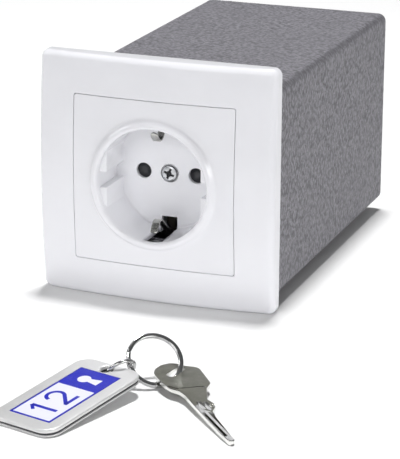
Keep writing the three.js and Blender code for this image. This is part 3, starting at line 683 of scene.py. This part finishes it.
def smooth_line(pts, per=4):
    """Catmull-Rom through the points."""
    p = [np.array(q, float) for q in pts]
    out = []
    for i in range(len(p) - 1):
        p0, p1, p2, p3 = p[max(0, i - 1)], p[i], p[i + 1], p[min(len(p) - 1, i + 2)]
        for k in range(per):
            t = k / per
            out.append(0.5 * ((2 * p1) + (p2 - p0) * t + (2 * p0 - 5 * p1 + 4 * p2 - p3) * t * t + (3 * p1 - p0 - 3 * p2 + p3) * t ** 3))
    out.append(p[-1])
    return out


def strip_shell(points, t, x0, x1, per=5, tip=0.0):
    """A strip of thickness t and width x0..x1 whose middle follows points in (y, z), with rounded edges and a rounded far end."""
    line = smooth_line(points, per)
    run = [0.0]
    for a, b in zip(line[::-1], line[::-1][1:]):
        run.append(run[-1] + float(np.linalg.norm(a - b)))
    run.reverse()
    xm, xh = (x0 + x1) / 2, (x1 - x0) / 2
    e = min(0.16, t / 2 - 0.02)
    section = rounded_loop(x0, x1, -t / 2, t / 2, e, 3)
    loops = []
    for i, q in enumerate(line):
        d = line[min(i + 1, len(line) - 1)] - line[max(i - 1, 0)]
        d = d / np.linalg.norm(d)
        nrm = np.array([-d[1], d[0]])
        u = max(0.0, 1 - run[i] / tip) if tip else 0.0
        k = (xh - min(tip, xh) * (1 - math.sqrt(max(0.0, 1 - min(u, 0.97) ** 2)))) / xh
        loops.append([(xm + (sx - xm) * k, q[0] + nrm[0] * st, q[1] + nrm[1] * st) for sx, st in section])
    return loft(loops)


make_cover_frame()
make_socket_cover()
make_recess_parts()


# ------------------------------------------------------------------ steel housing
def make_housing():
    # sleeve: folded sheet with round bends, wall 1.2 mm, edges eased
    def ring(inset, y):
        return [(x, y, z) for x, z in rounded_loop(BX0 + inset, BX1 - inset, BZ0 + inset, BZ1 - inset, max(BR - inset, 0.4), 12, 18)]

    e = 0.25
    loops = []
    for k in range(4):
        a = math.radians(90 * k / 3)
        loops.append(ring(e * (1 - math.sin(a)), BY0 + e * (1 - math.cos(a))))
    steps = 24
    for k in range(1, steps):
        loops.append(ring(0, BY0 + e + (BY1 - BY0 - 2 * e) * k / steps))
    for k in range(4):
        a = math.radians(90 * k / 3)
        loops.append(ring(e * (1 - math.cos(a)), BY1 - e * (1 - math.sin(a))))
    loops.append(ring(BT, BY1))
    for k in range(1, 8):
        loops.append(ring(BT, BY1 - (BY1 - BY0) * k / 8))
    loops.append(ring(BT, BY0))
    v, f = loft(loops, closed=True)
    ob = temp(v, f)
    bv, bf = block(LOCK_X - 7.8, LOCK_X + 5.6, 30.0, 33.0, BZ0 - 1, BZ0 + BT + 1, 0.1)
    ob = boolean(ob, temp(bv, bf), "DIFFERENCE")
    cv, cf = lathe([(0, BZ1 - BT - 0.2), (1.8, BZ1 - BT - 0.2), (1.85, BZ1 - BT), (3.05, BZ1), (3.1, BZ1 + 0.3), (0, BZ1 + 0.3)], 48, (4, 12, 0), "z")
    ob = boolean(ob, temp(cv, cf), "DIFFERENCE")
    ob = adopt(ob, "housing_folded_sleeve", "housing", COAT, 30)
    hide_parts("housing_sleeve")

    # back plate with eased edges
    g = BT + GAP
    shells = [extrude(rounded_loop(BX0 + g, BX1 - g, BZ0 + g, BZ1 - g, 1.7, 8, 6), BY1 - 1.5, BY1 - 0.3, "y", 0.15, 2)]
    ob = join_shells("housing_rear_plate", shells, "housing", COAT, 35)
    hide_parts("housing_back_plate")

    # stop screw, countersunk with a cross recess
    z1 = BZ1
    v, f = lathe([(0, z1 - 4.6), (1.2, z1 - 4.6), (1.5, z1 - 4.2), (1.5, z1 - 1.2), (2.62, z1 - 0.12), (2.6, z1 - 0.06), (0, z1 - 0.05)], 40, (4, 12, 0), "z")
    ob = temp(v, f)
    for k in range(2):
        pv, pf = block(-1.6, 1.6, -0.3, 0.3, z1 - 0.9, z1 + 0.4, 0.06)
        place = Matrix.Translation((4, 12, 0)) @ Matrix.Rotation(math.radians(30 + 90 * k), 4, "Z")
        ob = boolean(ob, temp(pv, pf, place), "DIFFERENCE")
    ob = adopt(ob, "stop_screw_head", "housing", ZINC, 30)
    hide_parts("stop_screw")
    for name, x0 in (("runner_strip_left", -28.6), ("runner_strip_right", 31.0)):
        z0 = BZ0 + BT + GAP
        v, f = extrude(rounded_loop(x0, x0 + 6, 4, 120, 1.2, 6), z0, z0 + 0.7, "z", 0.15, 2)
        ob = to_object(name + "_moulding", v, f, "housing", NYLON, 40)
        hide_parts(name)


make_housing()


# ------------------------------------------------------------------ key set
DEG = math.pi / 180
KEY_OUTLINE = [(-52.58, -3.75), (-54.96, -2.38), (-57.09, 0.43), (-57.56, 3.68), (-56.6, 5.49), (-54.23, 7.16), (-52.38, 9.9), (-50.78, 10.77),
               (-39.74, 9.83), (-36.57, 7.21), (-29.05, 4.16), (-25.44, 5.02), (-23.47, 4.47), (-20.89, 2.38), (-1.55, 1.11), (-0.36, 0.53),
               (-0.04, -0.48), (-0.83, -1.14), (-6.46, -1.41), (-15.36, -1.34), (-25.13, -1.23), (-30.02, -1.12), (-34.43, -0.99),
               (-37.76, -1.76), (-39.7, -3.12), (-41.98, -3.69), (-45.71, -4.12), (-50.23, -4.06)]
KEY_T = 1.4
KEY_PLACE = (Matrix.Translation((66.61, -112.64, -41.2)) @ Matrix.Rotation(-46.5 * DEG, 4, "Z") @ Matrix.Rotation(3.0 * DEG, 4, "Y"))


def round_corners(pts, r, per=4):
    """Rounds each corner of a closed outline by a small arc-like cut."""
    out = []
    n = len(pts)
    for i in range(n):
        p0, p1, p2 = np.array(pts[i - 1], float), np.array(pts[i], float), np.array(pts[(i + 1) % n], float)
        a, b = p0 - p1, p2 - p1
        la, lb = np.linalg.norm(a), np.linalg.norm(b)
        k = min(r, la * 0.45, lb * 0.45)
        s, e = p1 + a / la * k, p1 + b / lb * k
        for j in range(per + 1):
            t = j / per
            q = (1 - t) ** 2 * s + 2 * t * (1 - t) * p1 + t * t * e
            out.append((float(q[0]), float(q[1])))
    return out


def make_key():
    hx, hy = -50.87, 2.91
    L, W, A = 4.15, 1.55, 129.3 * DEG
    hole = []
    for i in range(48):
        t = i / 48 * 2 * math.pi
        u = math.copysign(L - W, math.cos(t)) + W * math.cos(t)
        w = W * math.sin(t)
        hole.append((hx + u * math.cos(A) - w * math.sin(A), hy + u * math.sin(A) + w * math.cos(A)))
    hole = list(reversed(hole))
    v, f = extrude(round_corners(KEY_OUTLINE, 0.8), -KEY_T / 2, KEY_T / 2, "z", 0.16, 3, [hole])
    ob = temp(v, f, KEY_PLACE)
    h = KEY_T / 2

    def cut(vf, how="DIFFERENCE", local=None):
        nonlocal ob
        ob = boolean(ob, temp(*vf, KEY_PLACE @ local if local is not None else KEY_PLACE), how)

    # a long groove and a stepped edge on the face, a groove behind, each running out in a milled scoop
    cut(groove_cutter(-18.6, -3.8, -1.05, -0.1, h - 0.5, 2.0, 3.5))
    cut(groove_cutter(-18.0, 2, 0.75, 6.0, h - 0.6, 2.0, 3.0))
    cut(groove_cutter(-18.5, 2, -0.6, 0.4, -h + 0.4, -2.0, 4.0))
    # two scallops where the blade leaves the bow
    for (ax, ay), (bx, by), r in (((-28.8, 1.1), (-22.6, 0.4), 1.5), ((-27.8, 2.75), (-21.6, 2.0), 1.3)):
        mx, my = (ax + bx) / 2, (ay + by) / 2
        half = math.hypot(bx - ax, by - ay) / 2
        prof = [(0, -half - 0.9), (r * 0.62, -half - 0.5), (r * 0.9, -half + 0.5), (r, 0), (r * 0.9, half - 0.5), (r * 0.62, half + 0.5), (0, half + 0.9)]
        sv, sf = lathe(prof, 28, (0, 0, 0), "x")
        cut((sv, sf), local=Matrix.Translation((mx, my, h + r - 0.34)) @ Matrix.Rotation(math.atan2(by - ay, bx - ax), 4, "Z"))
    # stamped ring mark beside them
    rv, rf = extrude(circle2(1.0, 28, (-24.6, 3.75), False), h - 0.12, h + 1, "z", 0.0, 2, [circle2(0.55, 28, (-24.6, 3.75))])
    cut((rv, rf))
    # milled line across the bow: a short step, then a fine groove ending in a dot
    for (ax, ay), (bx, by), w, d in (((-42.6, -3.9), (-38.9, -1.3), 0.55, 0.2), ((-39.1, -1.3), (-38.2, 6.3), 0.36, 0.22)):
        mx, my = (ax + bx) / 2, (ay + by) / 2
        half = math.hypot(bx - ax, by - ay) / 2
        cut(block(-half, half, -w / 2, w / 2, h - d, h + 1, 0.02, 1), local=Matrix.Translation((mx, my, 0)) @ Matrix.Rotation(math.atan2(by - ay, bx - ax), 4, "Z"))
    dv, df = lathe([(0, h - 0.18), (0.35, h - 0.12), (0.5, h + 0.02), (0.5, h + 1), (0, h + 1)], 20, (-37.85, 6.6, 0), "z")
    cut((dv, df))
    ob.name = "key_blank"
    ob.data.name = "key_blank"
    ob.data.materials.clear()
    for m in (KEYMETAL, KEYEDGE, KEYGROOVE):
        ob.data.materials.append(m)
    finish_mesh(ob, 32)
    nz = (KEY_PLACE.to_3x3() @ Vector((0, 0, 1))).normalized()
    idx = []
    inv = KEY_PLACE.inverted()
    for p in ob.data.polygons:
        c = inv @ (Vector(p.center) * 1000 - Vector(SHIFT))
        facing = abs(p.normal.dot(nz)) > 0.9
        top = abs(c.z) > h - 0.05
        if facing and not top and c.x > -22.5 and abs(c.z) < h - 0.2:
            idx.append(2)                      # groove floors, painted near black as shade
        elif facing and top and c.x < -26.5:
            idx.append(0)                      # face of the bow, in the darker copy of the key metal as painted dark reflection
        elif not top and c.z > h - 0.3 and ((abs(c.x + 38.7) < 1.4 and abs(c.y - 2.5) < 4.3) or (-43.0 < c.x < -38.0 and -4.2 < c.y < -0.8)):
            idx.append(2)                      # milled line, painted near black as shade
        elif facing and top and c.x < -20.0 and c.y > 0.0:
            idx.append(0)
        else:
            idx.append(1)
    ob.data.polygons.foreach_set("material_index", idx)
    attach(ob, "key")
    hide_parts("key")


def groove_cutter(x0, x1, y0, y1, z0, z1, scoop):
    """A cutter along the blade: flat floor at z0, rising smoothly to the face over the length scoop at x0."""
    loops = []
    n = 14
    sgn = 1 if z1 > z0 else -1
    for k in range(n + 1):
        t = k / n
        x = x0 - scoop + scoop * t
        depth = (1 - math.sqrt(max(0.0, 1 - t * t)))
        surface = sgn * (KEY_T / 2 + 0.02)
        z = surface + (z0 - surface) * (1 - math.cos(t * math.pi / 2)) if t < 1 else z0
        loops.append([(x, y0, z), (x, y1, z), (x, y1, z1), (x, y0, z1)])
    loops.append([(x1, y0, z0), (x1, y1, z0), (x1, y1, z1), (x1, y0, z1)])
    return loft(loops)


def make_split_ring():
    c = Vector((27.134, -74.618, -34.823))
    n = Vector((0.4813, -0.5346, 0.6947)).normalized()
    q = Vector((0, 0, 1)).rotation_difference(n)
    place = Matrix.Translation(c) @ q.to_matrix().to_4x4()
    r = 8.34
    wire_a, wire_r = 0.43, 0.72       # half height of one coil, half width across
    loops = []
    N = 220
    turns = 1.97
    start = math.radians(205)
    for k in range(N + 1):
        t = k / N
        ang = start + turns * 2 * math.pi * t
        # both coils lie pressed together; the step from one to the other is a short ramp
        s = (t * turns) % 1.0
        ramp = min(1.0, max(0.0, (t * turns - 0.94) / 0.10))
        ramp = ramp * ramp * (3 - 2 * ramp)
        z = -0.44 + 0.88 * ramp
        sec = []
        for j in range(12):
            a = 2 * math.pi * j / 12
            # flattened round wire
            u = wire_r * math.copysign(abs(math.cos(a)) ** 0.75, math.cos(a))
            w = wire_a * math.copysign(abs(math.sin(a)) ** 0.75, math.sin(a))
            fade = min(1.0, min(t, 1 - t) * N / 2.0)
            u, w = u * (0.72 + 0.28 * fade), w * (0.72 + 0.28 * fade)
            rr = r + u
            sec.append((rr * math.cos(ang), rr * math.sin(ang), z + w))
        loops.append(sec)
    v, f = loft(loops)
    ob = to_object("split_ring_coils", v, f, "ring", SPRING, 60, place)
    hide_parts("split_ring")


def make_jump_ring():
    cj = Vector((19.19, -82.20, -36.18))
    q = Vector((0, 0, 1)).rotation_difference(Vector((0.6165, -0.5278, -0.5852)).normalized())
    place = Matrix.Translation(cj) @ q.to_matrix().to_4x4()
    R, w = 4.4, 0.6
    loops = []
    N = 72
    a0, a1 = math.radians(100), math.radians(100 + 357)
    for k in range(N + 1):
        a = a0 + (a1 - a0) * k / N
        ring = []
        fade = 1.0 if 0 < k < N else 0.85
        for j in range(14):
            b = 2 * math.pi * j / 14
            ring.append(((R + w * fade * math.cos(b)) * math.cos(a), (R + w * fade * math.cos(b)) * math.sin(a), w * fade * math.sin(b)))
        loops.append(ring)
    v, f = loft(loops)
    ob = to_object("jump_ring_wire", v, f, "link", SPRING, 60, place)
    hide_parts("jump_ring")


make_key()
make_split_ring()
make_jump_ring()


def make_fob():
    length, hole = 45.0, 3.7
    place = (Matrix.Translation((15.91, -85.33, -37.66)) @ Matrix.Rotation(74.0 * DEG, 4, "Z") @ Matrix.Rotation(-6.0 * DEG, 4, "Y"))
    x0, x1, hw = hole - length, hole, 12.0
    eye = circle2(2.1, 48)

    def outline(inset):
        return rounded_loop(x0 + inset, x1 - inset, -hw + inset, hw - inset, 5.0 - inset, 16, 6)

    v, f = extrude(outline(0.0), 0.0, 0.55, "z", 0.2, 3, [eye])
    ob = to_object("fob_back_plate", v, f, "fob", TAG, 40, place)
    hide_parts("fob_backing")
    v, f = extrude(outline(0.25), 0.58, 0.97, "z", 0.05, 1, [eye])
    ob = to_object("fob_core_layer", v, f, "fob", DARK, 40, place)
    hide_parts("fob_core")
    # front plate: softly crowned rim
    v, f = extrude(outline(0.0), 1.0, 2.4, "z", 0.62, 8, [eye])
    ob = temp(v, f, place)
    px0, px1, py = x0 + 5.0, -3.0, 7.65
    pv, pf = extrude(rounded_loop(px0 - 0.16, px1 + 0.16, -py - 0.16, py + 0.16, 0.35, 4), 2.05, 3.4, "z")
    ob = boolean(ob, temp(pv, pf, place), "DIFFERENCE")
    ob = adopt(ob, "fob_front_plate", "fob", TAG, 35)
    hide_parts("fob_plate")
    # printed panel: blue border, white field, blue end field with a plain keyhole mark, plain number
    split = px1 - 11.6
    bw = 0.72
    top = 2.38
    shells = [extrude(rounded_loop(px0, px1, -py, py, 0.2, 3), 2.1, top, "z", 0.03, 1) + (0,)]
    field = extrude(rounded_loop(px0 + bw, split, -py + bw, py - bw, 0.12, 2), top - 0.01, top + 0.012, "z")
    shells.append(field + (1,))
    # keyhole, upright when the number is
    kx = (split + px1) / 2
    head = [(kx + 2.15 * math.cos(a), 1.7 + 2.15 * math.sin(a)) for a in np.linspace(math.radians(-62), math.radians(242), 30)]
    stem = [(kx - 1.75, -4.1), (kx + 1.75, -4.1)]
    shells.append(extrude(head + stem, top - 0.01, top + 0.012, "z") + (1,))

    # the number 12, drawn as strokes along the tag
    def stroke(pts, w):
        line = [np.array(p, float) for p in pts]
        left, right = [], []
        for i, p in enumerate(line):
            d = line[min(i + 1, len(line) - 1)] - line[max(i - 1, 0)]
            d = d / np.linalg.norm(d)
            nrm = np.array([-d[1], d[0]]) * w / 2
            left.append(tuple(p + nrm)); right.append(tuple(p - nrm))
        return left + list(reversed(right))

    fx = (px0 + bw + split) / 2
    one = [(fx - 6.9, 2.3), (fx - 4.5, 4.75), (fx - 4.5, -4.85)]
    two = [(fx + 3.1 + 2.75 * math.cos(a), 2.0 + 2.75 * math.sin(a)) for a in np.linspace(math.radians(172), math.radians(-38), 20)]
    two += [(fx + 0.5, -4.15)]
    base = [(fx + 0.0, -4.2), (fx + 6.4, -4.2)]
    for pts, w in ((one[:2], 1.1), (one[1:], 1.3), (two, 1.25), (base, 1.25)):
        shells.append(extrude(stroke(pts, w), top + 0.012, top + 0.022, "z") + (0,))
    ob = join_shells("fob_printed_panel", shells, "fob", [BLUE, PAPER], 40, place)
    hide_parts("fob_label")


make_fob()


# ------------------------------------------------------------------ inner parts: finishes on the carried-over nodes
def paint(names, material, slot):
    for n in names:
        ob = nodes[n]
        ob.data.materials.clear()
        ob.data.materials.append(material)


paint(["drawer_tray", "drawer_front_plate"], COAT, "grey_coat")
paint(["support_ring", "lock_plate", "front_rivet_1", "front_rivet_2", "front_rivet_3", "front_rivet_4", "side_rivet_left", "side_rivet_right"], SHEET, "bare_steel")
paint(["ring_screw_left", "ring_screw_right", "lock_body", "lock_washer", "lock_nut", "lock_cam", "cam_screw"], ZINC, "zinc")
paint(["socket_base"], DARK, "dark_plastic")
# painted shade: the brass plug behind the lower slot is coloured near black
paint(["lock_plug"], BLACKED, "brass")


# ribbed rubber mat on the floor of the tray
def make_mat():
    x0, x1, z0 = TX0 + TT + 0.6, TX1 - TT - 0.6, TZ0 + TT + GAP
    n = 20
    pitch = (x1 - x0) / n
    top = []
    for k in range(n):
        a = x0 + pitch * k
        top += [(a + pitch * u, z0 + w) for u, w in ((0.0, 0.85), (0.22, 0.85), (0.30, 0.98), (0.36, 1.38), (0.44, 1.5), (0.78, 1.5), (0.86, 1.38), (0.92, 0.98))]
    top.append((x1, z0 + 0.85))
    loop = [(x0, z0), (x1, z0)] + list(reversed(top))
    steps = [36.5, 36.56, 119.84, 119.9]
    loops = []
    for k, y in enumerate(steps):
        d = 0.06 if k in (0, 3) else 0.0
        loops.append([(min(max(x, x0 + d), x1 - d), y, max(z, z0 + d)) for x, z in loop])
    v, f = loft(loops)
    ob = to_object("tray_mat_ribbed", v, f, "drawer", RUBBER, 30)
    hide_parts("tray_mat")


make_mat()


# ------------------------------------------------------------------ floor and light
def make_stage():
    me = bpy.data.meshes.new("floor")
    s = 6.0
    me.from_pydata([(-s, -s, 0), (s, -s, 0), (s, s, 0), (-s, s, 0)], [], [(0, 1, 2, 3)])
    floor = bpy.data.objects.new("floor", me)
    scene.collection.objects.link(floor)
    m, nt, b = new_material("pale_floor")
    n = noise(nt, coords(nt), 0.01, 3.0, 0.5)
    nt.links.new(mix_colour(nt, remap(nt, n, 0.3, 0.7, 0, 1), (0.925, 0.925, 0.925), (0.915, 0.915, 0.915)), b.inputs["Base Color"])
    # the lit patch fades away from the part, so the far floor is given a little glow of its own
    away = nt.nodes.new("ShaderNodeVectorMath")
    away.operation = "LENGTH"
    nt.links.new(coords(nt), away.inputs[0])
    nt.links.new(remap(nt, away.outputs["Value"], 450, 2000, 0.0, 0.62, True), b.inputs["Emission Strength"])
    b.inputs["Emission Color"].default_value = (0.97, 0.98, 1.0, 1.0)
    b.inputs["Roughness"].default_value = 0.9
    b.inputs["Specular IOR Level"].default_value = 0.1
    me.materials.append(m)


def area(name, loc, target, size, power, size_y=None, colour=(1, 1, 1), spread=180):
    d = bpy.data.lights.new(name, "AREA")
    d.energy = power
    d.color = colour
    d.shape = "RECTANGLE" if size_y else "SQUARE"
    d.size = size
    if size_y:
        d.size_y = size_y
    d.spread = math.radians(spread)
    o = bpy.data.objects.new(name, d)
    scene.collection.objects.link(o)
    o.location = loc
    o.rotation_euler = (Vector(target) - Vector(loc)).to_track_quat("-Z", "Y").to_euler()
    return o


make_stage()
world = bpy.data.worlds.new("world")
scene.world = world
world.use_nodes = True
bg = world.node_tree.nodes["Background"]
wt = world.node_tree
wc = wt.nodes.new("ShaderNodeTexCoord")
wx = wt.nodes.new("ShaderNodeSeparateXYZ")
wt.links.new(wc.outputs["Generated"], wx.inputs[0])
ramp = wt.nodes.new("ShaderNodeValToRGB")
wt.links.new(wx.outputs["Z"], ramp.inputs["Fac"])
stops = [(0.0, 0.62), (0.10, 0.50), (0.17, 0.07), (0.42, 0.04), (0.56, 0.10), (1.0, 0.13)]
while len(ramp.color_ramp.elements) < len(stops):
    ramp.color_ramp.elements.new(0.5)
for e, (pos, val) in zip(ramp.color_ramp.elements, stops):
    e.position = pos
    e.color = (val * 0.97, val * 0.98, val, 1)
wt.links.new(ramp.outputs["Color"], bg.inputs["Color"])
bg.inputs["Strength"].default_value = 1.0
area("top", (-0.010, 0.22, 1.50), (0.02, 0.0, 0.02), 0.20, 21.0)
area("front", (-0.05, -1.55, 0.80), (0.0, 0.0, 0.04), 1.1, 6.35, 0.4)
area("front_right", (1.50, -0.80, 0.32), (0.02, 0.03, 0.05), 0.9, 8.3, 0.4)
area("left", (-1.20, -0.45, 0.75), (-0.03, 0.0, 0.05), 0.5, 3.9, 0.5)
scene.view_settings.view_transform = "Standard"
scene.view_settings.look = "None"

# ------------------------------------------------------------------ final update, and the end
bpy.context.view_layer.update()
